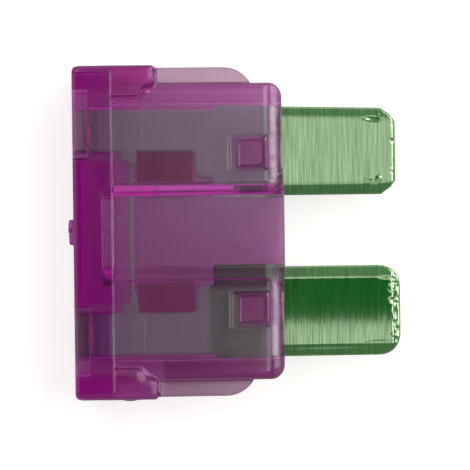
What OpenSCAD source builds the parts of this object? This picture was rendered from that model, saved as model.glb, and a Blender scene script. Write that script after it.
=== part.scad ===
// Automotive blade fuse, lying flat on its broad face.
// +X runs along the blades towards their tips, +Y across both blades, +Z up through the thickness.
// The origin is on the surface it lies on, under the middle of its box.
// Inside the modules x is measured from the head's end face, and z from the middle of the thickness.

/* [Head] */
// Width of the head across both blades
head_w = 19.1; // [18.6:0.1:20]
// Height of the head along the blades
head_h = 2.3; // [2.1:0.1:2.8]
// Thickness of the head
head_t = 5.1; // [5:0.1:5.8]
// Radius along the head's edges
head_r = 0.3; // [0.1:0.05:0.5]
// Depth of the test ports in the head's end face
port_depth = 1.0; // [0.6:0.1:1.4]
// Width of a test port through the thickness
port_t = 2.3; // [1.4:0.1:3]
// Room in a test port on the inner side of the metal
port_gap_in = 0.45; // [0.2:0.05:0.8]
// Room in a test port on the outer side of the metal
port_gap_out = 1.1; // [0.6:0.05:1.3]
// Height of the rating figure on the end face
figure_h = 2.7; // [2:0.1:3.4]
// Stroke of the rating figure
figure_stroke = 0.42; // [0.3:0.02:0.5]
// How far the rating figure stands out
figure_rise = 0.23; // [0.1:0.01:0.3]

/* [Body] */
// Length of the housing from the head's end face to its open end
body_end = 12.0; // [11.5:0.1:12.6]
// Wall between the blades' outer edges and the body's sides
side_wall = 1.1; // [0.9:0.05:1.15]
// Wall between a blade and the broad face over it
face_wall = 1.4; // [1.2:0.05:1.6]
// Radius along the body's long edges
body_r = 0.3; // [0.1:0.05:0.4]
// Radius of the body's two end corners
corner_r = 0.8; // [0.4:0.1:1]
// Length of the slope at the open end of the broad faces
end_slope_l = 0.75; // [0.4:0.05:1]
// Depth of the slope at the open end of the broad faces
end_slope_d = 0.5; // [0.2:0.05:0.7]
// Width of the raised middle panel at its flat top
panel_w = 4.3; // [4:0.1:4.8]
// Rise of the middle panel above the broad face
panel_rise = 0.4; // [0.2:0.05:0.6]
// Run of the slope on each side of the middle panel
panel_slope = 0.6; // [0.3:0.05:0.8]
// Wall of the middle panel over the link's chamber
panel_wall = 0.8; // [0.6:0.05:1]
// How far the chamber's flat is set in from the panel's flat, on each side
chamber_in = 0.15; // [0.05:0.05:0.4]
// Depth of the link's chamber into the head, from the head's underside
chamber_up = 0.65; // [0.3:0.05:0.9]

/* [Wings and shoulders] */
// Width over both wings
wing_span = 18.9; // [18.5:0.1:19.1]
// Thickness of a wing
wing_t = 0.9; // [0.6:0.05:1.2]
// Where a wing runs into the body's side, from the head's end face
wing_end = 10.3; // [9.5:0.1:10.8]
// Radius of a wing's outer end
wing_r = 1.8; // [1.4:0.1:2.2]
// Thickness of the shoulders under the head
shoulder_t = 4.4; // [4:0.1:4.8]
// Length of the inner step of a shoulder below the head
shoulder_in_l = 1.63; // [1.2:0.05:2]
// Length of the outer step of a shoulder below the head
shoulder_out_l = 2.44; // [2.1:0.05:3]
// Width of a shoulder's inner step over the body's side wall
shoulder_in_w = 0.8; // [0.5:0.05:1]
// Radius in the corner between a shoulder's two steps
shoulder_r = 0.45; // [0.2:0.05:0.6]
// Where the trimmed moulding gate stands on one shoulder, from the head's end face
gate_x = 3.15; // [3:0.05:3.6]
// Length of the trimmed moulding gate
gate_l = 1.26; // [0.8:0.02:1.4]
// How far the trimmed gate stands out beyond the head's side
gate_over = 0.1; // [0.04:0.02:0.2]
// Thickness of the trimmed gate
gate_t = 1.2; // [0.9:0.1:2]

/* [Blades] */
// Distance over the outer edges of both blades
blades_w = 14.5; // [14.1:0.1:14.7]
// Width of a blade
blade_w = 5.2; // [5:0.05:5.3]
// Thickness of the metal
blade_t = 0.65; // [0.5:0.05:0.8]
// Length of the fuse from the head's end face to the blade tips
fuse_l = 18.7; // [17.8:0.1:19.2]
// Width of the coined bevel along a blade's long edges
bevel_w = 0.7; // [0.4:0.05:0.9]
// Depth of the coined bevel at the edge, on each face
bevel_d = 0.15; // [0.08:0.01:0.2]
// Cut across a blade's tip corners
tip_cut = 0.75; // [0.4:0.05:1.1]
// Length of the bevel on a blade's tip
tip_bevel_l = 0.5; // [0.3:0.05:0.8]
// Depth of the bevel on a blade's tip, on each face
tip_bevel_d = 0.18; // [0.08:0.01:0.22]
// Where the full blade width starts, from the head's end face
coin_x = 8.0; // [7.8:0.1:8.4]

/* [Strips and link] */
// How far the strip's outer edge is set in from the blade's outer edge
strip_in = 0.25; // [0.1:0.05:0.4]
// Width of the strip that runs up through the head
strip_w = 2.4; // [2:0.1:2.6]
// How far the strip's end lies below the head's end face
strip_sink = 0.12; // [0.05:0.01:0.4]
// Width of the lug above the blade, over the strip
lug_w = 1.52; // [1.2:0.05:1.8]
// Where the lug starts, from the head's end face
lug_x = 7.0; // [6.6:0.1:7.4]
// Radius of the lug's inner corner
lug_r = 0.5; // [0.2:0.05:0.7]
// Radius in the corner between the strip and the lug
notch_r = 0.3; // [0.1:0.05:0.5]
// Gap from the head's underside to the foot that carries the link
foot_gap = 0.43; // [0.3:0.01:0.6]
// Length of the foot along the strip
foot_l = 0.97; // [0.8:0.01:1.2]
// How far the foot stands in from the strip
foot_w = 0.5; // [0.3:0.05:0.7]
// Length of the neck from the foot to the link
neck_l = 0.85; // [0.6:0.05:1]
// Width of the neck at the foot
neck_w = 0.52; // [0.4:0.02:0.7]
// Distance from the neck's upper edge to the middle of the link
link_set = 0.15; // [0.12:0.01:0.3]
// Width of the link
link_w = 0.24; // [0.12:0.01:0.24]
// Thickness of the link, milled down from the strip
link_t = 0.2; // [0.12:0.01:0.4]
// Radius of the cutter that milled the link
mill_r = 0.6; // [0.4:0.05:0.8]

/* [Stakes] */
// Distance between the centres of the two blade holes
stake_pitch = 8.9; // [8.6:0.1:9.2]
// Where the stakes stand, from the head's end face
stake_x = 10.25; // [10.1:0.05:10.3]
// Diameter of the hole in a blade
hole_d = 2.1; // [1.8:0.05:2.2]
// Width of a stake's square at its floor
stake_w = 1.5; // [1.2:0.05:1.6]
// Slope of a stake's sides, as a run at the surface
stake_slope = 0.25; // [0.1:0.05:0.35]
// Depth of a stake below the broad face
stake_depth = 0.85; // [0.5:0.05:1]

/* [Fits] */
// Clearance of the metal from the slot on each broad face
slot_fit = 0.08; // [0.04:0.01:0.15]
// Clearance of the metal from the slot at its edges
edge_fit = 0.1; // [0.05:0.01:0.2]
// Clearance of a stake's plug in the blade hole
plug_fit = 0.03; // [0.02:0.01:0.06]

/* [Hidden] */
$fn = 48;
// Overrun of cuts through a face, and overlap of joined shapes
over = 0.2;
// Places across the width
slot_t = blade_t + 2 * slot_fit;
slot_y = blades_w / 2 + edge_fit;
body_w = 2 * (slot_y + side_wall);
body_t = slot_t + 2 * face_wall;
panel_t = body_t + 2 * panel_rise;
chamber_t = panel_t - 2 * panel_wall;
chamber_w = panel_w - 2 * chamber_in;
strip_y1 = blades_w / 2 - strip_in;
strip_y0 = strip_y1 - strip_w;
blade_y0 = blades_w / 2 - blade_w;
foot_y = strip_y0 - foot_w;
neck_y = foot_y - neck_l;
// Places along the fuse
foot_x = head_h + foot_gap;
neck_x = foot_x + foot_l - neck_w;
link_x = neck_x + link_set;
chamber_x = head_h - chamber_up;
shoulder_in_x = head_h + shoulder_in_l;
shoulder_out_x = head_h + shoulder_out_l;
wing_arc_x = wing_end - sqrt(pow(wing_r, 2) - pow(wing_r - (wing_span - body_w) / 2, 2));
// The gate is a slice of a disc, its radius worked out from its length and rise
gate_rise = (head_w - wing_span) / 2 + gate_over;
gate_r = pow(gate_l, 2) / (8 * gate_rise) + gate_rise / 2;
// The rating figure is two open rings, one on the other
figure_r = (figure_h + figure_stroke) / 4;
figure_open = 30;
figure_stub = 0.15;
// Colours
plastic = [0.55, 0.2, 0.5, 0.6];
metal = [0.66, 0.7, 0.62];

// Puts what is modelled from the head's end face into the part's own frame
module place() {
    translate([(figure_rise - fuse_l) / 2, gate_over / 2, head_t / 2])
        children();
}

// Rectangle with round corners, from x 0 and centred on y
module round_rect(l, w, r) {
    translate([0, r - w / 2])
        square([l, w - 2 * r]);
    translate([r, -w / 2])
        square([l - 2 * r, w]);
    for (x = [r, l - r], y = [r - w / 2, w / 2 - r])
        translate([x, y])
            circle(r);
}

// A plan shape as a slab, centred on the middle of the thickness
module slab(t) {
    linear_extrude(t, center = true)
        children();
}

// A section drawn with x across the width and y through the thickness, run along the fuse
module along(x0, x1) {
    translate([x0, 0, 0])
        rotate([90, 0, 90])
            linear_extrude(x1 - x0)
                children();
}

// A profile drawn with x along the fuse and y through the thickness, run across the width
module across(w) {
    rotate([90, 0, 0])
        linear_extrude(w, center = true)
            children();
}

// Both sides of the fuse
module both_sides() {
    children();
    mirror([0, 1, 0])
        children();
}

module head() {
    intersection() {
        slab(head_t)
            round_rect(head_h, head_w, head_r);
        across(head_w)
            round_rect(head_h, head_t, head_r);
        along(0, head_h)
            translate([-head_w / 2, 0])
                round_rect(head_w, head_t, head_r);
    }
}

// The rating figure stands on the end face, open side to +Y so that it reads from outside
module figure() {
    ring_y = figure_r - figure_stroke / 2;
    along(-figure_rise, over)
        for (s = [-1, 1])
            translate([0, s * ring_y])
                difference() {
                    circle(figure_r);
                    circle(figure_r - figure_stroke);
                    polygon([[0, 0], [figure_h, s * figure_h * tan(figure_open)],
                        [figure_h, -s * figure_h], [figure_stub, -s * figure_h], [figure_stub, 0]]);
                }
}

// Plan of the body, with its two end corners rounded
module body_plan() {
    l = body_end - head_h + over;
    translate([head_h - over, 0]) {
        translate([0, -body_w / 2])
            square([l - corner_r, body_w]);
        round_rect(l, body_w, corner_r);
    }
}

module body() {
    slope_x = body_end - end_slope_l;
    half_t = body_t / 2;
    half_end = half_t - end_slope_d;
    intersection() {
        slab(body_t)
            body_plan();
        along(0, body_end)
            translate([-body_w / 2, 0])
                round_rect(body_w, body_t, body_r);
        across(body_w)
            polygon([[0, -half_t], [slope_x, -half_t], [body_end, -half_end],
                [body_end, half_end], [slope_x, half_t], [0, half_t]]);
    }
    panel();
}

// Raised middle panel on both broad faces
module panel() {
    foot_half = panel_w / 2 + panel_slope;
    along(head_h - over, body_end)
        polygon([[-foot_half, -body_t / 2], [-panel_w / 2, -panel_t / 2], [panel_w / 2, -panel_t / 2],
            [foot_half, -body_t / 2], [foot_half, body_t / 2], [panel_w / 2, panel_t / 2],
            [-panel_w / 2, panel_t / 2], [-foot_half, body_t / 2]]);
}

// Two-step thickening between the head and a wing
module shoulder() {
    side_y = body_w / 2;
    out_w = wing_span / 2 - side_y;
    top_x = head_h - over;
    intersection() {
        slab(shoulder_t) {
            translate([top_x, side_y - shoulder_in_w])
                square([shoulder_in_x - top_x, shoulder_in_w + out_w]);
            translate([top_x, side_y])
                square([shoulder_out_x - top_x, out_w]);
            difference() {
                translate([shoulder_in_x, side_y - shoulder_r])
                    square(shoulder_r);
                translate([shoulder_in_x + shoulder_r, side_y - shoulder_r])
                    circle(shoulder_r);
            }
        }
        along(0, body_end)
            translate([-wing_span / 2, 0])
                round_rect(wing_span, shoulder_t, body_r);
    }
}

// Thin web from the shoulder down the body's side
module wing() {
    side_y = body_w / 2 - over;
    edge_y = wing_span / 2;
    slab(wing_t) {
        translate([head_h - over, side_y])
            square([wing_arc_x - head_h + over, edge_y - side_y]);
        intersection() {
            translate([wing_arc_x, edge_y - wing_r])
                circle(wing_r);
            translate([wing_arc_x - over, side_y])
                square([wing_r + over, edge_y - side_y]);
        }
    }
}

// What is left of the moulding gate, on the -Y shoulder
module gate() {
    translate([gate_x, gate_r - wing_span / 2 - gate_rise, 0])
        cylinder(h = gate_t, r = gate_r, center = true);
}

// Slot for the metal, the link's chamber and the ways up to the test ports
module hollow() {
    chamber_y = chamber_w / 2;
    slope_y = chamber_y + panel_slope;
    translate([head_h, -slot_y, -slot_t / 2])
        cube([body_end - head_h + over, 2 * slot_y, slot_t]);
    along(chamber_x, body_end + over)
        polygon([[-slope_y, -slot_t / 2], [-chamber_y, -chamber_t / 2], [chamber_y, -chamber_t / 2],
            [slope_y, -slot_t / 2], [slope_y, slot_t / 2], [chamber_y, chamber_t / 2],
            [-chamber_y, chamber_t / 2], [-slope_y, slot_t / 2]]);
    both_sides() {
        translate([-over, strip_y0 - port_gap_in, -port_t / 2])
            cube([port_depth + over, strip_w + port_gap_in + port_gap_out, port_t]);
        translate([0, strip_y0 - edge_fit, -slot_t / 2])
            cube([head_h + over, strip_w + 2 * edge_fit, slot_t]);
    }
}

// Square pressed into both broad faces over a blade hole
module stake_dents() {
    run = stake_slope * (stake_depth + over) / stake_depth;
    floor_w = stake_w / 2;
    mouth_w = floor_w + run;
    for (face = [-1, 1])
        translate([stake_x, stake_pitch / 2, face * (body_t / 2 - stake_depth)])
            intersection() {
                across(2 * mouth_w)
                    polygon([[-floor_w, 0], [floor_w, 0], [mouth_w, face * (stake_depth + over)],
                        [-mouth_w, face * (stake_depth + over)]]);
                along(-mouth_w, mouth_w)
                    polygon([[-floor_w, 0], [floor_w, 0], [mouth_w, face * (stake_depth + over)],
                        [-mouth_w, face * (stake_depth + over)]]);
            }
}

// Plastic that fills a blade hole
module plug() {
    translate([stake_x, stake_pitch / 2, 0])
        cylinder(h = slot_t + over, d = hole_d - 2 * plug_fit, center = true);
}

module housing() {
    color(plastic)
        place() {
            difference() {
                union() {
                    head();
                    figure();
                    body();
                    both_sides() {
                        shoulder();
                        wing();
                    }
                    gate();
                }
                hollow();
                both_sides()
                    stake_dents();
            }
            both_sides()
                plug();
        }
}

// The blade from where its coining starts to its tip
module blade() {
    half_t = blade_t / 2;
    edge_t = half_t - bevel_d;
    tip_t = half_t - tip_bevel_d;
    y1 = blades_w / 2;
    intersection() {
        slab(blade_t)
            polygon([[coin_x, blade_y0], [fuse_l - tip_cut, blade_y0], [fuse_l, blade_y0 + tip_cut],
                [fuse_l, y1 - tip_cut], [fuse_l - tip_cut, y1], [coin_x + strip_in, y1],
                [coin_x, strip_y1]]);
        along(coin_x, fuse_l)
            polygon([[blade_y0, -edge_t], [blade_y0 + bevel_w, -half_t], [y1 - bevel_w, -half_t],
                [y1, -edge_t], [y1, edge_t], [y1 - bevel_w, half_t], [blade_y0 + bevel_w, half_t],
                [blade_y0, edge_t]]);
        across(2 * blades_w)
            polygon([[0, -half_t], [fuse_l - tip_bevel_l, -half_t], [fuse_l, -tip_t],
                [fuse_l, tip_t], [fuse_l - tip_bevel_l, half_t], [0, half_t]]);
    }
}

// The strip from the test port down to the blade, with the lug and the foot on its inner edge
module strip() {
    slab(blade_t) {
        translate([strip_sink, strip_y0])
            square([coin_x + over - strip_sink, strip_w]);
        difference() {
            translate([lug_x, strip_y0 - lug_w])
                square([coin_x + over - lug_x, lug_w + over]);
            translate([lug_x, strip_y0 - lug_w])
                square(lug_r);
        }
        translate([lug_x + lug_r, strip_y0 - lug_w + lug_r])
            circle(lug_r);
        difference() {
            translate([lug_x - notch_r, strip_y0 - notch_r])
                square([notch_r + over, notch_r + over]);
            translate([lug_x - notch_r, strip_y0 - notch_r])
                circle(notch_r);
        }
        translate([foot_x, foot_y])
            square([foot_l, foot_w + over]);
    }
}

// The link and its necks, milled from the foot's thickness down to the link's
module link() {
    neck_x1 = neck_x + neck_w;
    ramp_run = sqrt(pow(mill_r, 2) - pow(mill_r - (blade_t - link_t) / 2, 2));
    mill_y = foot_y - ramp_run;
    mill_z = link_t / 2 + mill_r;
    intersection() {
        slab(blade_t) {
            translate([link_x - link_w / 2, -neck_y - over])
                square([link_w, 2 * (neck_y + over)]);
            both_sides()
                polygon([[neck_x, foot_y + over], [neck_x, foot_y], [link_x - link_w / 2, neck_y],
                    [link_x + link_w / 2, neck_y], [neck_x1, foot_y], [neck_x1, foot_y + over]]);
        }
        along(neck_x - over, neck_x1 + over)
            difference() {
                square([2 * foot_y + 2 * over, blade_t], center = true);
                for (s = [-1, 1]) {
                    translate([0, s * mill_z])
                        square([2 * mill_y, 2 * mill_r], center = true);
                    for (e = [-1, 1])
                        translate([e * mill_y, s * mill_z])
                            circle(mill_r);
                }
            }
    }
}

module fuse_element() {
    color(metal)
        place() {
            difference() {
                both_sides() {
                    blade();
                    strip();
                }
                both_sides()
                    translate([stake_x, stake_pitch / 2, 0])
                        cylinder(h = blade_t + over, d = hole_d, center = true);
            }
            link();
        }
}

housing();
fuse_element();
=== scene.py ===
import bmesh
import bpy
import math
import numpy as np
from mathutils import Matrix, Vector
from mathutils.geometry import delaunay_2d_cdt


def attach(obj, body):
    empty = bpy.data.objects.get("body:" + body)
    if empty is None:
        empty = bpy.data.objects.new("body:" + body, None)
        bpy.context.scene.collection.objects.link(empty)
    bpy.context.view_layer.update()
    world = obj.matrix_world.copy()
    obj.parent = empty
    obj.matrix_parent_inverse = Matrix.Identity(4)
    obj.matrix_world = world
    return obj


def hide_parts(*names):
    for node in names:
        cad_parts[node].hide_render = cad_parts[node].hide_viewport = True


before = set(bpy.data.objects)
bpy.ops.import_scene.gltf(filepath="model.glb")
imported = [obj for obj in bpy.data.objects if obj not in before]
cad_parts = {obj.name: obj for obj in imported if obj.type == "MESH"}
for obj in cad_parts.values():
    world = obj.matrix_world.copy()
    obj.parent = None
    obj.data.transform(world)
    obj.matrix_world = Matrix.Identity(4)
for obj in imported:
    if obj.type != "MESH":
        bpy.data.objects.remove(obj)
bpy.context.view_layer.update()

# ---------------------------------------------------------------------------------------------
# Fuse element: both blades, their strips, feet and the thin link between them are one piece of
# zinc, blanked from rolled strip, coined along the blades' edges and milled thin at the link.
# It is pushed into the housing and held there by plastic staked through a hole in each blade.

MM = 0.001
# The part's own frame lies off the head's end face, the axis and the middle of the thickness by this
PLACE = Vector((-9.235, 0.05, 2.55))

METAL_T = 0.65
STRIP_END, STRIP_IN, STRIP_OUT = 0.12, 4.6, 7.0
FOOT_X0, FOOT_X1, FOOT_Y = 2.73, 3.70, 4.1
NECK_X0, NECK_X1, NECK_Y = 3.18, 3.70, 3.25
LINK_X0, LINK_X1, LINK_T = 3.21, 3.45, 0.2
LUG_X, LUG_Y, LUG_R, NOTCH_R = 7.0, 3.08, 0.5, 0.3
BLADE_X, BLADE_IN, BLADE_OUT = 8.0, 2.05, 7.25
HOLE_X, HOLE_Y, HOLE_R = 10.25, 4.45, 1.05
MILL_R, MILL_Y, MILL_END = 0.6, 3.512, 4.2
BEVEL_W, BEVEL_D = 0.7, 0.14
ROUND_W, ROUND_D = 0.92, 0.135
TIP_UP, TIP_DOWN, TIP_L, TIP_D = 18.62, 18.8, 0.55, 0.135
NARROW_UP = 0.2
# Handling marks on the blades: place, half lengths and depth
MARKS = [
    (17.3, 6.4, 0.3, 0.09, 0.07), (17.5, 6.28, 0.2, 0.05, 0.03), (16.8, 6.42, 0.45, 0.035, 0.015),
    (17.7, 6.62, 0.1, 0.06, 0.015), (15.4, 6.75, 1.1, 0.04, 0.01), (16.85, 2.82, 0.35, 0.035, 0.014),
    (17.62, 3.02, 0.13, 0.12, -0.03), (17.3, 2.7, 0.25, 0.03, 0.012), (11.9, 6.2, 0.03, 0.04, 0.01),
    (17.55, -6.45, 0.7, 0.05, 0.02), (18.0, -2.75, 0.3, 0.06, 0.02), (14.5, -6.72, 3.5, 0.1, 0.016),
]
chips = np.random.default_rng(7)
MARKS += [(chips.uniform(18.32, 18.8), chips.uniform(-6.8, -2.5), *chips.uniform(0.05, 0.17, 2), chips.uniform(-0.03, 0.05))
          for _ in range(45)]
MARKS += [(chips.uniform(18.45, 18.6), chips.uniform(2.6, 6.4), *chips.uniform(0.05, 0.15, 2), chips.uniform(-0.02, 0.04))
          for _ in range(18)]
MARKS += [(chips.uniform(12.2, 18), chips.uniform(2.9, 6.4), chips.uniform(0.012, 0.02), chips.uniform(0.1, 0.4), 0.004)
          for _ in range(26)]
ROLL_W, ROLL_D = 0.14, 0.07


def arc(x, y, r, a0, a1, steps=8):
    turn = [math.radians(a0 + (a1 - a0) * i / steps) for i in range(steps + 1)]
    return [(x + r * math.cos(a), y + r * math.sin(a)) for a in turn]


def half_outline(tip, corners, narrow):
    """One blade with its strip and foot, from the link's head side round to its blade side."""
    return [
        (LINK_X0, 0), (LINK_X0, NECK_Y), (NECK_X0, FOOT_Y), (FOOT_X0, FOOT_Y), (FOOT_X0, STRIP_IN),
        (STRIP_END, STRIP_IN), (STRIP_END, STRIP_OUT), (BLADE_X, STRIP_OUT), (BLADE_X + 0.25, BLADE_OUT),
        *[(tip - u, BLADE_OUT - narrow - v) for u, v in corners],
        *[(tip - u, BLADE_IN + v) for u, v in reversed(corners)],
        (BLADE_X, BLADE_IN), (BLADE_X, LUG_Y),
        *arc(LUG_X + LUG_R, LUG_Y + LUG_R, LUG_R, 270, 180),
        *arc(LUG_X - NOTCH_R, STRIP_IN - NOTCH_R, NOTCH_R, 0, 90),
        (FOOT_X1, STRIP_IN), (FOOT_X1, FOOT_Y), (LINK_X1, NECK_Y), (LINK_X1, 0),
    ]


def stepped(points, step):
    """Points along a closed line, no further apart than step."""
    out = []
    for a, b in zip(points, points[1:] + points[:1]):
        n = max(1, math.ceil(math.dist(a, b) / step))
        out += [(a[0] + (b[0] - a[0]) * i / n, a[1] + (b[1] - a[1]) * i / n) for i in range(n)]
    return out


def edge_distance(points, lines):
    """How far each point is from the nearest edge, in mm, and whether it is inside."""
    near = np.full(len(points), 1e9)
    inside = np.zeros(len(points), bool)
    x, y = points[:, 0], points[:, 1]
    for line in lines:
        for (ax, ay), (bx, by) in zip(line, line[1:] + line[:1]):
            dx, dy = bx - ax, by - ay
            t = np.clip(((x - ax) * dx + (y - ay) * dy) / max(dx * dx + dy * dy, 1e-12), 0, 1)
            near = np.minimum(near, np.hypot(x - ax - t * dx, y - ay - t * dy))
            crosses = (ay > y) != (by > y)
            if ay != by:
                inside ^= crosses & (x < ax + (y - ay) * dx / dy)
    return near, inside


def eased(t, soft):
    """0 below 0, then rising to 1 at 1, its first bend spread over soft."""
    t = np.clip(t, 0, 1)
    return np.where(t < soft, t * t / (2 * soft), t - soft / 2) / (1 - soft / 2)


def metal_half(x, y, near):
    """Half the metal's thickness at a place, with coining, milling and the sheared edge's roll."""
    side = np.abs(y)
    half = np.full(len(x), METAL_T / 2)
    in_mill = np.clip(side - MILL_Y, 0, MILL_R)
    milled = LINK_T / 2 + MILL_R - np.sqrt(MILL_R ** 2 - in_mill ** 2)
    half = np.where(x < MILL_END, np.minimum(half, milled), half)
    on_blade = np.clip((x - BLADE_X) / 0.25, 0, 1)
    narrowed = np.where(y > 0, NARROW_UP * np.clip((x - BLADE_X) / (TIP_UP - BLADE_X), 0, 1), 0)
    to_edge = np.minimum(side - BLADE_IN, BLADE_OUT - narrowed - side)
    rounded = ROUND_D * eased(1 - to_edge / ROUND_W, 1.0)
    bevelled = BEVEL_D * eased(1 - to_edge / BEVEL_W, 0.08)
    half -= on_blade * np.where(y > (BLADE_IN + BLADE_OUT) / 2, rounded, bevelled)
    to_tip = np.where(y > 0, (TIP_UP - x) / 0.25, (TIP_DOWN - x) / TIP_L)
    half -= TIP_D * eased(1 - to_tip, 0.3)
    for mx, my, rx, ry, d in MARKS:
        half -= d * np.exp(-((x - mx) / rx) ** 2 - ((y - my) / ry) ** 2)
    half -= ROLL_D * np.clip(1 - near / ROLL_W, 0, 1) ** 2
    return half


def stamping():
    upper = half_outline(TIP_UP, [(0.85, 0), (0.3, 0.4), (0, 0.8)], NARROW_UP)
    lower = [(x, -y) for x, y in half_outline(TIP_DOWN, arc(1.2, 1.2, 1.2, 270, 180), 0)][::-1]
    outline = stepped(upper[1:-1] + lower[1:-1], 0.12)
    holes = [stepped(arc(HOLE_X, s * HOLE_Y, HOLE_R, 0, 360, 48)[:-1], 0.2) for s in (1, -1)]
    lines = [outline] + holes
    rings = [p for line in lines for p in line]
    edges, start = [], 0
    for line in lines:
        n = len(line)
        edges += [(start + i, start + (i + 1) % n) for i in range(n)]
        start += n
    fill = []
    for inset in (0.03, 0.06, 0.1, 0.15):
        for line in lines:
            for a, b in zip(line, line[1:] + line[:1]):
                d = math.dist(a, b)
                nx, ny = (b[1] - a[1]) / d, (a[0] - b[0]) / d
                mx, my = (a[0] + b[0]) / 2, (a[1] + b[1]) / 2
                fill += [(mx + s * nx * inset, my + s * ny * inset, inset) for s in (-1, 1)]
    fill = np.array(fill)
    near, inside = edge_distance(fill[:, :2], lines)
    fill = fill[inside & (near > 0.9 * fill[:, 2])][:, :2]
    gx, gy = np.meshgrid(np.arange(0, 19, 0.13), np.arange(-7.3, 7.3, 0.15))
    gx[::2] += 0.065
    grid = np.column_stack([gx.ravel(), gy.ravel()])
    near, inside = edge_distance(grid, lines)
    grid = grid[inside & (near > 0.2)]
    rows = [(x, s * y) for x in np.arange(BLADE_X + 0.3, TIP_DOWN - 0.1, 0.11) for s in (1, -1)
            for e in (-0.02, 0.02) for y in (BLADE_IN + BEVEL_W + e, BLADE_OUT - BEVEL_W + e)]
    rows += [(x + e, y) for x, s in ((TIP_UP - 0.25, 1), (TIP_DOWN - TIP_L, -1)) for e in (-0.02, 0.02)
             for y in s * np.arange(BLADE_IN + 0.2, BLADE_OUT - 0.2, 0.11)]
    rows += [(x, e - 6.72) for x in np.arange(BLADE_X + 0.3, 18, 0.11) for e in (-0.12, -0.06, 0, 0.06, 0.12)]
    rows += [(x, y) for x in np.arange(16.8, TIP_DOWN, 0.05) for y in np.arange(-7, 7, 0.055)]
    rows = np.array(rows)
    near, inside = edge_distance(rows, lines)
    rows = rows[inside & (near > 0.12)]
    flat = rings + [tuple(p) for p in fill] + [tuple(p) for p in grid] + [tuple(p) for p in rows]
    got, _, faces, *_ = delaunay_2d_cdt([Vector(p) for p in flat], edges, [], 0, 1e-6)
    got = np.array([tuple(p) for p in got])
    mid = np.array([got[f].mean(0) for f in faces])
    _, inside = edge_distance(mid, lines)
    faces = [f for f, keep in zip(faces, inside) if keep]
    near, _ = edge_distance(got, lines)
    half = metal_half(got[:, 0], got[:, 1], near)
    n = len(got)
    top = np.column_stack([got, half])
    bottom = np.column_stack([got, -half])
    verts = (np.vstack([top, bottom]) + np.array(PLACE)) * MM
    polys = []
    rim = {}
    for f in faces:
        a, b, c = (got[i] for i in f)
        if (b[0] - a[0]) * (c[1] - a[1]) - (b[1] - a[1]) * (c[0] - a[0]) < 0:
            f = f[::-1]
        polys.append(tuple(f))
        polys.append(tuple(i + n for i in reversed(f)))
        for i, j in zip(f, f[1:] + f[:1]):
            if (j, i) in rim:
                del rim[(j, i)]
            else:
                rim[(i, j)] = True
    polys += [(j, i, i + n, j + n) for i, j in rim]
    me = bpy.data.meshes.new("stamping")
    me.from_pydata([tuple(v) for v in verts], [], polys)
    me.polygons.foreach_set("use_smooth", [True] * len(me.polygons))
    me.set_sharp_from_angle(angle=math.radians(38))
    ob = bpy.data.objects.new("stamping", me)
    bpy.context.scene.collection.objects.link(ob)
    return ob


def linear(code):
    parts = [int(code[i:i + 2], 16) / 255 for i in (1, 3, 5)]
    return [c / 12.92 if c <= 0.04045 else ((c + 0.055) / 1.055) ** 2.4 for c in parts] + [1]


def add(tree, kind, inputs=(), **settings):
    """A node with its settings, and with its inputs given a value or joined to another's output."""
    made = tree.nodes.new(kind)
    for name, value in settings.items():
        setattr(made, name, value)
    for name, value in dict(inputs).items():
        if isinstance(value, bpy.types.NodeSocket):
            tree.links.new(value, made.inputs[name])
        else:
            made.inputs[name].default_value = value
    return made


def material(name):
    made = bpy.data.materials.new(name)
    made.use_nodes = True
    made.node_tree.nodes.clear()
    return made, made.node_tree


def maths(tree, operation, *values, **settings):
    return add(tree, "ShaderNodeMath", dict(enumerate(values)), operation=operation, **settings).outputs[0]


def between(tree, value, low, high, soft):
    """1 where value lies from low to high, falling to 0 over soft on each side."""
    up = add(tree, "ShaderNodeMapRange", {"Value": value, "From Min": low - soft, "From Max": low})
    down = add(tree, "ShaderNodeMapRange", {"Value": value, "From Min": high + soft, "From Max": high})
    return maths(tree, "MULTIPLY", up.outputs[0], down.outputs[0])


zinc, t = material("rolled_zinc")
place = add(t, "ShaderNodeTexCoord").outputs["Object"]
grain = add(t, "ShaderNodeMapping", {"Vector": place, "Scale": (1 / (0.09 * MM), 1 / (2.2 * MM), 1 / (0.5 * MM))})
lines = add(t, "ShaderNodeTexNoise", {"Vector": grain.outputs[0], "Scale": 1.0, "Detail": 2.0, "Roughness": 0.5})
bump = add(t, "ShaderNodeBump", {"Height": lines.outputs["Fac"], "Strength": 1.0, "Distance": 0.0025 * MM})
along = add(t, "ShaderNodeSeparateXYZ", {0: place})
coined = add(t, "ShaderNodeMapRange", {
    "Value": along.outputs[0], "From Min": (BLADE_X - 0.1 + PLACE.x) * MM, "From Max": (BLADE_X + 0.1 + PLACE.x) * MM})
# Painted light: inside the housing the metal is coloured lighter and greener than the bare blades, standing in for how
# it is lit through the violet plastic
hidden = between(t, along.outputs[0], (1.6 + PLACE.x) * MM, (10.8 + PLACE.x) * MM, 0.9 * MM)
colour = add(t, "ShaderNodeMix", {0: hidden, 6: linear("#b0c2a2"), 7: linear("#7bff84")}, data_type="RGBA")
streaks = add(t, "ShaderNodeMapRange", {"Value": lines.outputs["Fac"], "From Min": 0.3, "From Max": 0.7, "To Min": 0.72, "To Max": 1.2})
colour = add(t, "ShaderNodeMix", {0: 1.0, 6: colour.outputs[2], 7: streaks.outputs[0]}, data_type="RGBA", blend_type="MULTIPLY")
rough = add(t, "ShaderNodeMapRange", {"Value": coined.outputs[0], "To Min": 0.3, "To Max": 0.04})
bare = add(t, "ShaderNodeBsdfPrincipled", {
    "Base Color": colour.outputs[2], "Metallic": 1.0, "Roughness": rough.outputs[0], "Normal": bump.outputs[0]})
tone = add(t, "ShaderNodeMix", {0: 1.0, 6: linear("#249a32"), 7: streaks.outputs[0]}, data_type="RGBA", blend_type="MULTIPLY")
# Painted light: the film inside the housing is coloured lighter and greener too, for the same light through the plastic
tone = add(t, "ShaderNodeMix", {0: hidden, 6: tone.outputs[2], 7: linear("#a8ffb2")}, data_type="RGBA")
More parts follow.
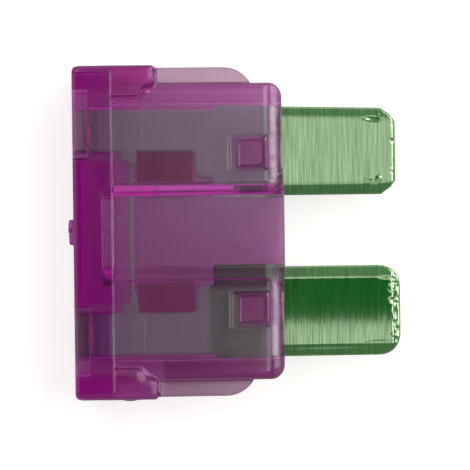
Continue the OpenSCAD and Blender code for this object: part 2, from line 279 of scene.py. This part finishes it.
# Painted reflection: the lower blade inside the body is coloured darker here, standing in for the dark it reflects
painted_dark_reflection = between(t, along.outputs[0], (7.9 + PLACE.x) * MM, (10.6 + PLACE.x) * MM, 0.4 * MM)
painted_dark_reflection = maths(t, "MULTIPLY", painted_dark_reflection, between(t, along.outputs[1], -7.3 * MM, -1.9 * MM, 0.3 * MM))
tone = add(t, "ShaderNodeMix", {0: painted_dark_reflection, 6: tone.outputs[2], 7: linear("#74e478")}, data_type="RGBA")
# Painted reflection: a darker band along the lower blade's inner edge inside the body
painted_dark_edge = between(t, along.outputs[0], (8.0 + PLACE.x) * MM, (10.9 + PLACE.x) * MM, 0.3 * MM)
painted_dark_edge = maths(t, "MULTIPLY", painted_dark_edge, between(t, along.outputs[1], -3.0 * MM, -1.9 * MM, 0.4 * MM))
tone = add(t, "ShaderNodeMix", {0: painted_dark_edge, 6: tone.outputs[2], 7: linear("#3c6a2c")}, data_type="RGBA")
film = add(t, "ShaderNodeBsdfPrincipled", {
    "Base Color": tone.outputs[2], "Roughness": 0.5, "Specular IOR Level": 0.2, "Normal": bump.outputs[0]})
clouds = add(t, "ShaderNodeTexNoise", {"Vector": place, "Scale": 1 / (1.1 * MM), "Detail": 2.0})
cloudy = add(t, "ShaderNodeMapRange", {"Value": clouds.outputs["Fac"], "From Min": 0.35, "From Max": 0.65, "To Min": 0.55, "To Max": 0.64})
cover = maths(t, "MULTIPLY_ADD", hidden, cloudy.outputs[0], 0.36)
coated = add(t, "ShaderNodeMixShader", {0: cover, 1: bare.outputs[0], 2: film.outputs[0]})
add(t, "ShaderNodeOutputMaterial", {"Surface": coated.outputs[0]})

element = stamping()
element.data.materials.append(zinc)
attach(element, "root")
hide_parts("fuse_element")

# ---------------------------------------------------------------------------------------------
# Housing: one injection moulding in clear violet plastic, polished in the mould, hollow inside
# for the element. The tool leaves every corner rounded and every inside corner filleted.

HEAD_L, HEAD_Y, HEAD_Z, HEAD_R, DRAFT = 2.3, 9.5, 2.55, 0.35, 0.045
BODY_END, BODY_Y, BODY_Z = 12.0, 8.45, 1.805
END_SLOPE_X, END_SLOPE_Z = 0.75, 0.5
PANEL_Y, PANEL_Z, PANEL_FOOT = 2.25, 2.205, 2.7
SHOULDER_IN_X, SHOULDER_IN_Y, SHOULDER_OUT_X, SHOULDER_Z = 3.93, 7.65, 4.74, 2.2
WING_END, WING_Y, WING_Z, WING_R = 10.488, 9.45, 0.45, 1.8
GATE_X, GATE_Y, GATE_R, GATE_Z = 3.15, 8.253, 1.398, 0.6
FIGURE_R, FIGURE_LINE, FIGURE_RISE = 0.78, 0.42, 0.23
SLOT_Y, SLOT_Z = 7.35, 0.405
ROOM_X, ROOM_Y, ROOM_Z = 1.65, 2.0, 1.15
ROOM_FOOT_UP, ROOM_FOOT_DOWN = 2.45, 2.7
PORT_X, PORT_Y0, PORT_Y1, PORT_Z = 1.0, 4.15, 8.1, 1.15
WAY_Y0, WAY_Y1 = 4.5, 7.1
DENT_W, DENT_FLOOR, DENT_LEAN, PLUG_R = 0.75, 0.955, 0.294, 1.02
DENT_LEFT, DENT_RIGHT = 0.46, 0.2


def both(a, b, ease):
    """Distance to what two shapes share, its corner rounded over ease."""
    h = np.maximum(ease - np.abs(a - b), 0) / ease
    return np.maximum(a, b) + h * h * ease / 4


def either(a, b, ease):
    """Distance to two shapes joined, with a fillet over ease."""
    return -both(-a, -b, ease)


def span(v, low, high):
    return np.abs(v - (low + high) / 2) - (high - low) / 2


def block(u, v, w, r):
    """Block with round edges, from how far a place is past each pair of its faces."""
    u, v, w = u + r, v + r, w + r
    past = np.sqrt(np.maximum(u, 0) ** 2 + np.maximum(v, 0) ** 2 + np.maximum(w, 0) ** 2)
    return past + np.minimum(np.maximum(np.maximum(u, v), w), 0) - r


def leaning(u, v, run, rise):
    """Distance to a slope through u = 0, v = 0 that falls by rise over run."""
    size = math.hypot(run, rise)
    return (u * rise + v * run) / size


def moulding(x, y, z):
    """Distance from the housing's surface at each place, in mm, less than nothing inside it."""
    side, deep = np.abs(y), np.abs(z)
    ends = np.maximum(DRAFT * deep - x, x - HEAD_L - 1)
    head = both(block(ends, side - HEAD_Y + DRAFT * deep, deep - HEAD_Z, HEAD_R), x - HEAD_L, 0.02)
    plan = np.where(x < 6, side - BODY_Y, block(x - BODY_END, side - BODY_Y, np.float64(-5), 0.8))
    body = both(plan, deep - BODY_Z, 0.5)
    end = leaning(x - BODY_END + END_SLOPE_X, deep - BODY_Z, END_SLOPE_X, END_SLOPE_Z)
    body = both(both(body, end, 0.35), 1.6 - x, 0.1)
    ridge = leaning(side - PANEL_Y, deep - PANEL_Z, PANEL_FOOT - PANEL_Y, PANEL_Z - BODY_Z)
    ridge = both(both(ridge, deep - PANEL_Z, 0.2), span(x, 1.8, BODY_END), 0.12)
    inner = both(span(x, 1.6, SHOULDER_IN_X), SHOULDER_IN_Y - side, 0.45)
    outer = both(span(x, 1.6, SHOULDER_OUT_X), 8.2 - side, 0.45)
    shoulder = both(both(either(inner, outer, 0.5), side - WING_Y, 0.2), deep - SHOULDER_Z, 0.4)
    wing = np.where(x < 6, side - WING_Y, block(x - WING_END, side - WING_Y, np.float64(-5), WING_R))
    wing = both(both(wing, deep - WING_Z, 0.14), np.maximum(8.0 - side, 1.6 - x), 0.1)
    gate = both(np.sqrt((x - GATE_X) ** 2 + (y + GATE_Y) ** 2) - GATE_R, deep - GATE_Z, 0.1)
    gate = both(gate, 8.5 + y, 0.1)
    solid = either(either(body, ridge, 0.12), wing, 0.15)
    solid = either(either(solid, shoulder, 0.2), head, 0.03)
    solid = either(solid, gate, 0.1)
    for s in (-1, 1):
        up = s * z - FIGURE_R + FIGURE_LINE / 2
        ring = np.abs(np.sqrt(y ** 2 + up ** 2) - FIGURE_R + FIGURE_LINE / 2) - FIGURE_LINE / 2
        ring = both(ring, np.minimum(-y, up - 0.5 * y), 0.1)
        solid = either(solid, both(ring, span(x, -FIGURE_RISE, 0.2), 0.08), 0.08)
    slot = block(span(x, HEAD_L, 14), side - SLOT_Y, deep - SLOT_Z, 0.05)
    above, below = (leaning(side - ROOM_Y, deep - ROOM_Z, foot - ROOM_Y, ROOM_Z - SLOT_Z)
                    for foot in (ROOM_FOOT_UP, ROOM_FOOT_DOWN))
    room = np.where(y > 0, above, below)
    room = both(both(room, deep - ROOM_Z, 0.15), ROOM_X - x, 0.15)
    port = block(span(x, -2, PORT_X), span(side, PORT_Y0, PORT_Y1), deep - PORT_Z, 0.12)
    way = block(span(x, -2, 4), span(side, WAY_Y0, WAY_Y1), deep - SLOT_Z, 0.05)
    hollow = either(either(slot, room, 0.1), either(port, way, 0.1), 0.1)
    solid = both(solid, -hollow, 0.1)
    above = deep - DENT_FLOOR
    right = leaning(x - HOLE_X + 0.05 - DENT_W, -above, 1, 1 / DENT_RIGHT)
    left = leaning(HOLE_X - 0.05 - DENT_W - x, -above, 1, 1 / DENT_LEFT)
    beside = leaning(np.abs(side - HOLE_Y) - DENT_W, -above, 1, 1 / DENT_LEAN)
    solid = both(solid, -both(both(np.maximum(left, right), beside, 0.15), -above, 0.12), 0.1)
    plug = np.sqrt((x - HOLE_X) ** 2 + (side - HOLE_Y) ** 2) - PLUG_R
    return either(solid, both(plug, deep - 0.6, 0.1), 0.08)


def planes(marks, spans, fine, wide):
    """Where a net's planes lie along one axis: close by every corner, and through each span."""
    want = sorted({round(m + s * o, 4) for m in marks for o in (0, 0.04, 0.125, 0.22) for s in (-1, 1)})
    out = [want[0] - 0.1, want[0]]
    for v in want[1:] + [want[-1] + 0.1]:
        gap, last = v - out[-1], out[-1]
        if gap > 0.018:
            step = fine if any(a <= last + gap / 2 <= b for a, b in spans) else wide
            n = max(1, math.ceil(gap / step - 1e-6))
            out += [last + gap * i / n for i in range(1, n + 1)]
    return np.array(out)


def net(shape, axes):
    """A net of four-sided faces over the surface, one corner in each cell that it passes through."""
    d = shape(axes[0][:, None, None], axes[1][None, :, None], axes[2][None, None, :])
    inside = d < 0
    cells = np.array(d.shape) - 1
    eight = [(i, j, k) for i in (0, 1) for j in (0, 1) for k in (0, 1)]
    held = sum(inside[tuple(slice(o[i], o[i] + cells[i]) for i in range(3))].astype(np.int8) for o in eight)
    at = np.argwhere((held > 0) & (held < 8))
    number = np.full(cells, -1)
    number[tuple(at.T)] = np.arange(len(at))
    total, count = np.zeros((len(at), 3)), np.zeros(len(at))
    for o in eight:
        for k in [k for k in range(3) if not o[k]]:
            a = at + o
            b = a.copy()
            b[:, k] += 1
            da, db = d[tuple(a.T)], d[tuple(b.T)]
            cross = (da < 0) != (db < 0)
            p = np.stack([axes[i][a[:, i]] for i in range(3)], 1)
            p[:, k] += np.where(cross, da / np.where(cross, da - db, 1), 0) * (axes[k][b[:, k]] - axes[k][a[:, k]])
            total += p * cross[:, None]
            count += cross
    faces = []
    for k in range(3):
        u, v = (k + 1) % 3, (k + 2) % 3
        low, high = [slice(1, -1)] * 3, [slice(1, -1)] * 3
        low[k], high[k] = slice(0, -1), slice(1, None)
        a, b = inside[tuple(low)], inside[tuple(high)]
        e = np.argwhere(a != b)
        leaves = a[tuple(e.T)]
        around = []
        for du, dv in ((0, 0), (1, 0), (1, 1), (0, 1)):
            c = e.copy()
            c[:, u] += du
            c[:, v] += dv
            around.append(number[tuple(c.T)])
        around = np.stack(around, 1)
        around[~leaves] = around[~leaves][:, ::-1]
        faces.append(around)
    return total / count[:, None], np.vstack(faces)


def steepest(shape, p):
    """Which way the distance grows at each place, and how fast."""
    out = np.zeros_like(p)
    for k in range(3):
        a, b = p.copy(), p.copy()
        a[:, k] += 0.004
        b[:, k] -= 0.004
        out[:, k] = (shape(*a.T) - shape(*b.T)) / 0.008
    return out


def moulded(name, shape, axes):
    places, faces = net(shape, axes)
    for _ in range(2):
        way = steepest(shape, places)
        move = way * (shape(*places.T) / np.maximum((way ** 2).sum(1), 0.2))[:, None]
        places -= move * np.minimum(1, 0.04 / np.maximum(np.linalg.norm(move, axis=1), 1e-9))[:, None]
    me = bpy.data.meshes.new(name)
    me.from_pydata(((places + np.array(PLACE)) * MM).tolist(), [], faces.tolist())
    bm = bmesh.new()
    bm.from_mesh(me)
    bmesh.ops.dissolve_limit(bm, angle_limit=math.radians(0.3), verts=bm.verts, edges=bm.edges)
    bm.to_mesh(me)
    bm.free()
    me.polygons.foreach_set("use_smooth", [True] * len(me.polygons))
    left = np.empty(len(me.vertices) * 3)
    me.vertices.foreach_get("co", left)
    way = steepest(shape, left.reshape(-1, 3) / MM - np.array(PLACE))
    way /= np.linalg.norm(way, axis=1, keepdims=True)
    me.normals_split_custom_set_from_vertices(way.tolist())
    ob = bpy.data.objects.new(name, me)
    bpy.context.scene.collection.objects.link(ob)
    return ob


across = [2.0, 2.15, 2.6, 2.75, 3.45, 3.7, 4.15, 4.5, 5.2, 5.45, 7.1, 7.35, 7.65, 8.1, 8.45, 9.45, 9.55]
deep = [0.405, 0.45, 0.955, 1.15, 1.305, 1.405, 1.805, 2.2, 2.55]
axes = (
    planes([-0.23, 0, 1.0, 1.65, 2.3, 3.93, 4.74, 9.2, 9.45, 10.95, 11.2, 12.0], [(0, 0.3), (8.7, 12)], 0.11, 0.6),
    planes([-v for v in across] + across, [(-9.6, -7.65), (-5.5, -3.4), (-0.8, 0.8), (3.4, 5.5), (7.65, 9.6)], 0.11, 0.6),
    planes([-v for v in deep] + deep, [(-1.4, 1.4)], 0.11, 0.3),
)
housing = moulded("moulded_housing", moulding, axes)

plastic, t = material("clear_violet_plastic")
place = add(t, "ShaderNodeTexCoord").outputs["Object"]
waves = add(t, "ShaderNodeTexNoise", {"Vector": place, "Scale": 1 / (0.9 * MM), "Detail": 1.0})
spark = add(t, "ShaderNodeTexNoise", {"Vector": place, "Scale": 1 / (0.1 * MM), "Detail": 2.0})
ripple = add(t, "ShaderNodeBump", {"Height": waves.outputs["Fac"], "Strength": 1.0, "Distance": 0.008 * MM})
ripple = add(t, "ShaderNodeBump", {
    "Height": spark.outputs["Fac"], "Strength": 1.0, "Distance": 0.0025 * MM, "Normal": ripple.outputs[0]})
at = add(t, "ShaderNodeSeparateXYZ", {0: place})
# Painted shade: the solid head, away from its ports and room, is tinted deeper than its absorbing volume alone makes it
head_shade = between(t, at.outputs[0], -1, (2.2 + PLACE.x) * MM, 0.3 * MM)
beside = maths(t, "ABSOLUTE", maths(t, "SUBTRACT", at.outputs[1], PLACE.y * MM))
in_port = between(t, beside, PORT_Y0 * MM, PORT_Y1 * MM, 0.15 * MM)
in_room = maths(t, "MULTIPLY", between(t, beside, -1, 2.3 * MM, 0.1 * MM),
                between(t, at.outputs[0], (ROOM_X + PLACE.x) * MM, 1, 0.1 * MM))
head_shade = maths(t, "MULTIPLY", head_shade, maths(t, "SUBTRACT", 1.0, maths(t, "MAXIMUM", in_port, in_room)))
tint = add(t, "ShaderNodeMix", {0: head_shade, 6: linear("#fffaff"), 7: linear("#ff88fc")}, data_type="RGBA")
# Painted shade: the staked dents over the blades' holes are tinted deeper
dent_shade = maths(t, "MULTIPLY", between(t, at.outputs[0], (HOLE_X - 0.85 + PLACE.x) * MM, (HOLE_X + 0.75 + PLACE.x) * MM, 0.1 * MM),
                between(t, beside, (HOLE_Y - 0.8) * MM, (HOLE_Y + 0.8) * MM, 0.1 * MM))
tint = add(t, "ShaderNodeMix", {0: dent_shade, 6: tint.outputs[2], 7: linear("#eaa8dc")}, data_type="RGBA")
# Painted shade: patches tinted deeper where the floor under the plastic lies in shadow, beside the metal and along the
# lower side, partly also where a wall is thick: from and to along x and y, fade on each side, tone
SHADE_PATCHES = [
    (3.75, 6.8, 2.9, 4.5, 0.17, "#e2c7c4"), (3.75, 6.8, -4.5, -2.9, 0.17, "#f0e1e0"),
    (5.2, 11.3, -8.6, -7.45, 0.2, "#dcb0d0"), (2.5, 4.5, 8.3, 9.7, 0.17, "#fd99e9"),
    (-0.2, 0.85, -7.1, -4.5, 0.15, "#dcd2dc"), (1.2, 1.95, -7.1, -4.5, 0.15, "#f4ccfa"),
    (2.4, 3.8, -8.4, -7.6, 0.15, "#f0c0d6"),
]
for x0, x1, y0, y1, fade, tone in SHADE_PATCHES:
    shade_patch = maths(t, "MULTIPLY",
                  between(t, at.outputs[0], (x0 + PLACE.x) * MM, (x1 + PLACE.x) * MM, fade * MM),
                  between(t, at.outputs[1], (y0 + PLACE.y) * MM, (y1 + PLACE.y) * MM, fade * MM))
    tint = add(t, "ShaderNodeMix", {0: shade_patch, 6: tint.outputs[2], 7: linear(tone)}, data_type="RGBA")
at_end = maths(t, "MULTIPLY", between(t, at.outputs[0], (11.85 + PLACE.x) * MM, 1, 0.15 * MM),
               between(t, beside, 2.9 * MM, 1, 0.2 * MM))
tint = add(t, "ShaderNodeMix", {0: at_end, 6: tint.outputs[2], 7: linear("#ffb0fc")}, data_type="RGBA")
skin = add(t, "ShaderNodeBsdfPrincipled", {
    "Base Color": tint.outputs[2], "Roughness": 0.1, "IOR": 1.58, "Transmission Weight": 1.0, "Normal": ripple.outputs[0]})
ABSORBS = (0.045, 0.385, 0.075)
depth = add(t, "ShaderNodeVolumeAbsorption", {
    "Color": (*[1 - a / max(ABSORBS) for a in ABSORBS], 1), "Density": max(ABSORBS) / MM})
# Painted highlight: a pale band of diffuse haze across the body's end over the blades, standing in for the light its
# end slope catches
end_highlight = maths(t, "MULTIPLY", between(t, at.outputs[0], (11.3 + PLACE.x) * MM, (11.5 + PLACE.x) * MM, 0.25 * MM),
               between(t, beside, 2.8 * MM, 7.0 * MM, 0.3 * MM))
patchy = add(t, "ShaderNodeMapRange", {
    "Value": waves.outputs["Fac"], "From Min": 0.35, "From Max": 0.6, "To Min": 0.55, "To Max": 1.0})
end_highlight = maths(t, "MULTIPLY", end_highlight, patchy.outputs[0])
haze_and_highlight = add(t, "ShaderNodeMix", {0: end_highlight, 6: linear("#981e8c"), 7: linear("#f4d2e8")}, data_type="RGBA")
haze = add(t, "ShaderNodeBsdfDiffuse", {"Color": haze_and_highlight.outputs[2]})
clear = add(t, "ShaderNodeMixShader", {
    0: maths(t, "MULTIPLY_ADD", end_highlight, 0.4, 0.05), 1: skin.outputs[0], 2: haze.outputs[0]})
add(t, "ShaderNodeOutputMaterial", {"Surface": clear.outputs[0], "Volume": depth.outputs[0]})
housing.data.materials.append(plastic)
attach(housing, "root")
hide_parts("housing")

# ---------------------------------------------------------------------------------------------
# Where it lies: a white sheet under it, inside a soft light tent with an opening for the camera.


floor_mat, t = material("white_sheet")
sheet = add(t, "ShaderNodeBsdfDiffuse", {"Color": linear("#c9c5bd")})
path = add(t, "ShaderNodeLightPath")
mirrored = maths(t, "MAXIMUM", path.outputs["Is Glossy Ray"], path.outputs["Is Transmission Ray"])
share = maths(t, "MULTIPLY_ADD", path.outputs["Is Camera Ray"], 0.7, maths(t, "MULTIPLY", mirrored, 0.1))
glow = add(t, "ShaderNodeEmission", {"Color": (1, 1, 1, 1), "Strength": share})
seen = add(t, "ShaderNodeAddShader", {0: sheet.outputs[0], 1: glow.outputs[0]})
add(t, "ShaderNodeOutputMaterial", {"Surface": seen.outputs[0]})
me = bpy.data.meshes.new("floor")
me.from_pydata([(x, y, -0.03 * MM) for x, y in ((-0.6, -0.6), (0.6, -0.6), (0.6, 0.6), (-0.6, 0.6))], [], [(0, 1, 2, 3)])
me.materials.append(floor_mat)
floor = bpy.data.objects.new("floor", me)
bpy.context.scene.collection.objects.link(floor)

world = bpy.data.worlds.new("light_tent")
world.use_nodes = True
t = world.node_tree
t.nodes.clear()
way = add(t, "ShaderNodeSeparateXYZ", {0: add(t, "ShaderNodeTexCoord").outputs["Generated"]})


height = maths(t, "MAXIMUM", way.outputs[2], 0.001)
lean_x = maths(t, "DIVIDE", way.outputs[0], height)
lean_y = maths(t, "DIVIDE", way.outputs[1], height)
opening = maths(t, "MULTIPLY", between(t, lean_x, 0.06, 0.45, 0.01), between(t, lean_y, -0.052, 0.0, 0.002))
over_head = maths(t, "MULTIPLY", between(t, lean_x, -0.75, -0.022, 0.004), between(t, lean_y, -0.2, 0.2, 0.05))
over_body = maths(t, "MULTIPLY", between(t, lean_x, -0.03, 0.05, 0.01), between(t, lean_y, -0.2, 0.2, 0.05))
lower = add(t, "ShaderNodeMapRange", {"Value": lean_y, "From Min": 0.0, "From Max": -0.03, "To Min": 0.5, "To Max": 0.95})
over_body = maths(t, "MULTIPLY", over_body, lower.outputs[0])
opening = maths(t, "MAXIMUM", opening, maths(t, "MAXIMUM", over_head, over_body))
overhead = add(t, "ShaderNodeMapRange", {"Value": way.outputs[2], "From Min": 0.93, "From Max": 0.98}).outputs[0]
low = add(t, "ShaderNodeMapRange", {"Value": way.outputs[2], "From Min": 0.65, "From Max": 0.45}).outputs[0]
boxes = maths(t, "ADD", between(t, way.outputs[0], -0.5, -0.34, 0.05), between(t, way.outputs[0], 0.34, 0.5, 0.06))
boxes = maths(t, "MULTIPLY_ADD", between(t, way.outputs[0], 0.74, 0.93, 0.06), 1.0, boxes)
boxes = maths(t, "MULTIPLY", boxes, between(t, way.outputs[1], -0.07, 0.66, 0.1))
level = maths(t, "MULTIPLY_ADD", way.outputs[1], 0.1, 0.21)
level = maths(t, "MULTIPLY_ADD", overhead, 0.9, level)
low = maths(t, "MULTIPLY", low, maths(t, "MULTIPLY_ADD", way.outputs[1], 0.15, 0.37))
level = maths(t, "ADD", low, level)
level = maths(t, "MULTIPLY_ADD", boxes, 3.3, level)
level = maths(t, "MULTIPLY", level, maths(t, "SUBTRACT", 1.0, opening))
level = maths(t, "MAXIMUM", level, add(t, "ShaderNodeLightPath").outputs["Is Camera Ray"])
sky = add(t, "ShaderNodeBackground", {"Color": (1, 1, 1, 1), "Strength": level})
add(t, "ShaderNodeOutputWorld", {"Surface": sky.outputs[0]})
bpy.context.scene.world = world

aim = (Vector((9.284, -0.212, 0)) + PLACE) * MM
reach = 95 * MM
lean_to_head, lean_down, roll = math.radians(2.71), math.radians(0.04), math.radians(-0.76)
back = Vector((-math.sin(lean_to_head) * math.cos(lean_down), -math.sin(lean_down),
               math.cos(lean_to_head) * math.cos(lean_down)))
right = Vector((0, 1, 0)).cross(back).normalized()
up = back.cross(right)
turned = (right * math.cos(roll) + up * math.sin(roll), up * math.cos(roll) - right * math.sin(roll), back)
lens = bpy.data.cameras.new("camera")
lens.sensor_width = 36
lens.lens = 126.05
lens.clip_start = 0.001
camera = bpy.data.objects.new("camera", lens)
camera.matrix_world = Matrix.Translation(aim + back * reach) @ Matrix(turned).transposed().to_4x4()
bpy.context.scene.collection.objects.link(camera)
bpy.context.scene.camera = camera
bpy.context.scene.view_settings.view_transform = "Standard"
